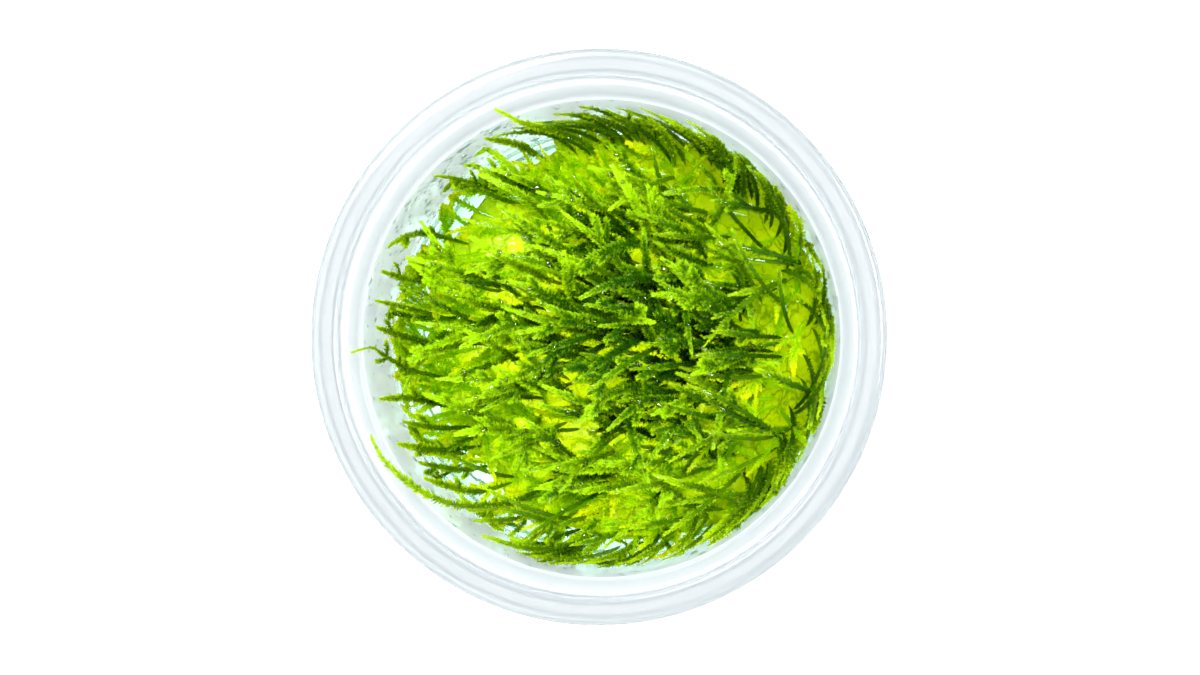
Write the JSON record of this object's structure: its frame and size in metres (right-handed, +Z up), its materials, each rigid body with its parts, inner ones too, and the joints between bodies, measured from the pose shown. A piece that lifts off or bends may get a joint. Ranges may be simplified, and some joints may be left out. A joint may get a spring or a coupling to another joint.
{
  "type": "moss clump in a clear culture cup",
  "caption": "Clump of leafy aquatic moss growing on a disc of nutrient gel in an open, clear, round plastic culture cup with a lid ledge and a wide rolled rim.",
  "frame": {"origin": "middle of the cup's foot ring, on the surface that the cup stands on", "axes": "+Z up the cup's axis, towards its open mouth. The shoots lean towards -X; +Y is to the left of a viewer who looks along +X"},
  "size_m": [0.07, 0.07, 0.04],
  "materials": {
    "clear_plastic": "clear, moulded, faintly blue",
    "nutrient_gel": "clear wet jelly, slightly cloudy",
    "old_moss": "yellow-green tangle of old stems, wet",
    "young_moss": "small overlapping leaves, thin, wet and glossy",
    "tip_moss": "small overlapping leaves, lighter towards the tip"
  },
  "bodies": {
    "root": {"cup": "clear_plastic", "nutrient_gel": "nutrient_gel", "stem_mat": "old_moss", "tuft_01": "young_moss", "tuft_02": "young_moss", "tuft_03": "young_moss", "tuft_04": "young_moss", "tuft_05": "young_moss", "tuft_06": "young_moss", "tuft_07": "young_moss", "tuft_08": "young_moss", "tuft_09": "young_moss", "tuft_10": "young_moss", "tuft_11": "young_moss", "tuft_12": "young_moss", "tuft_13": "young_moss", "tuft_14": "young_moss", "tuft_15": "young_moss", "tuft_16": "young_moss", "tuft_17": "young_moss", "tuft_18": "young_moss", "tuft_19": "young_moss", "tuft_20": "young_moss", "tuft_21": "young_moss", "tuft_22": "young_moss", "tuft_23": "young_moss", "tuft_24": "young_moss", "shoot_top_left_long": "tip_moss", "shoot_top_left_mid": "tip_moss", "shoot_top_left_low": "tip_moss", "shoot_left_1": "tip_moss", "shoot_left_2": "tip_moss", "shoot_left_3": "tip_moss", "shoot_left_4": "tip_moss", "shoot_left_over_ledge": "tip_moss", "shoot_left_5": "tip_moss", "shoot_lower_left_1": "tip_moss", "shoot_lower_left_2": "tip_moss", "shoot_lower_left_3": "tip_moss", "shoot_lower_left_4": "tip_moss", "shoot_along_ledge": "tip_moss", "shoot_bottom_1": "tip_moss", "shoot_bottom_2": "tip_moss", "shoot_bottom_3": "tip_moss", "shoot_bottom_4": "tip_moss", "shoot_lower_right_1": "tip_moss", "shoot_lower_right_2": "tip_moss", "shoot_right_1": "tip_moss", "shoot_right_2": "tip_moss", "shoot_right_3": "tip_moss", "shoot_top_right_1": "tip_moss", "shoot_top_right_2": "tip_moss", "shoot_top_1": "tip_moss"}
  },
  "joints": []
}
